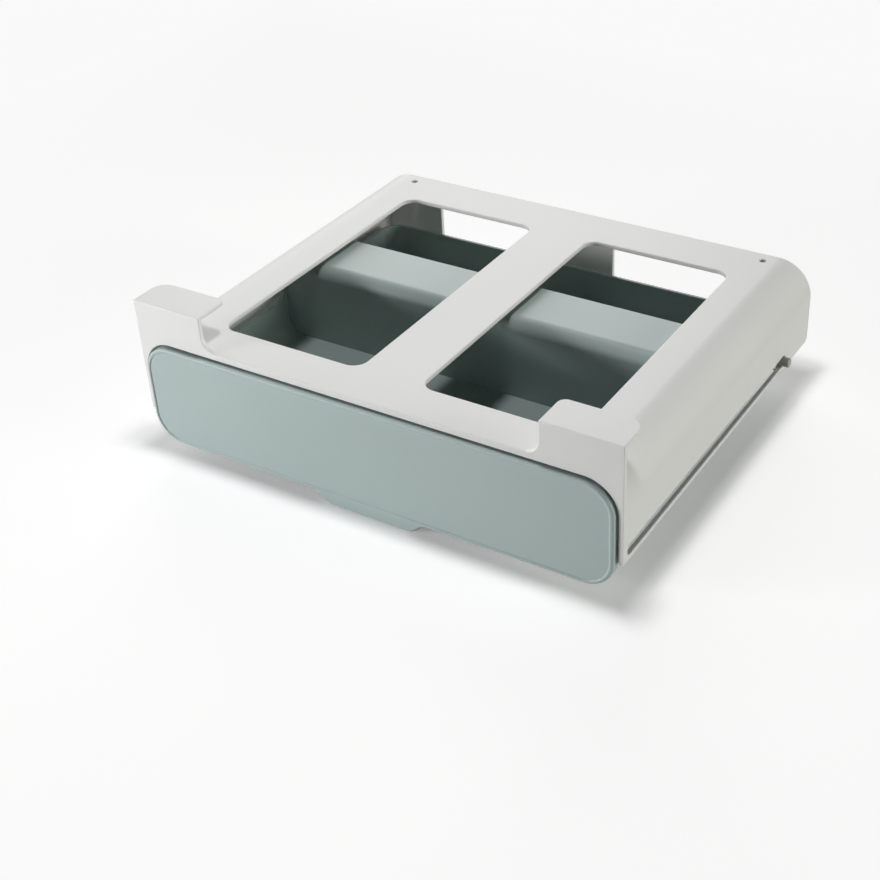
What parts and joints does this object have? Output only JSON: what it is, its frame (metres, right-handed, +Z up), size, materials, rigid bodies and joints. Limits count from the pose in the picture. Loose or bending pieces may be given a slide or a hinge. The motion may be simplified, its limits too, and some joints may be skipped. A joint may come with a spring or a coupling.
{
  "type": "under-shelf drawer",
  "caption": "Under-shelf spice drawer: a moulded housing that hooks over a shelf's front edge, and a two-bin tray that slides out on side pegs and drops down.",
  "frame": {"origin": "middle of the bounding box on its lowest plane, which is the plane that the finger pull's lower edge touches", "axes": "+X to the right as seen from the front, +Y from the front panel to the rear wall, +Z up towards the shelf"},
  "size_m": [0.329, 0.262, 0.1],
  "materials": {
    "housing_plastic": "fine satin moulded texture, light warm grey",
    "drawer_plastic": "fine satin moulded texture, grey sage green",
    "panel_plastic": "fine satin moulded texture, grey sage green",
    "screw_steel": "zinc plated",
    "peg_plastic": "smooth, mid grey",
    "ring_plastic": "smooth, off-white, self-lubricating"
  },
  "bodies": {
    "housing": {"housing": "housing_plastic"},
    "carriage": {"slide_peg_left": "peg_plastic", "slide_peg_right": "peg_plastic", "glide_ring_left": "ring_plastic", "glide_ring_right": "ring_plastic", "peg_cap_left": "drawer_plastic", "peg_cap_right": "drawer_plastic"},
    "drawer": {"drawer_tray": "drawer_plastic", "front_panel": "panel_plastic", "panel_screws": "screw_steel"}
  },
  "joints": [
    {"name": "drawer_slide", "type": "slide", "parent": "housing", "child": "carriage", "axis": [0, -1, 0], "range_m": [0, 0.208]},
    {"name": "drawer_drop", "type": "hinge", "parent": "carriage", "child": "drawer", "pos_m": [0, 0.0895, 0.031], "axis": [1, 0, 0], "range_deg": [0, 35]}
  ]
}
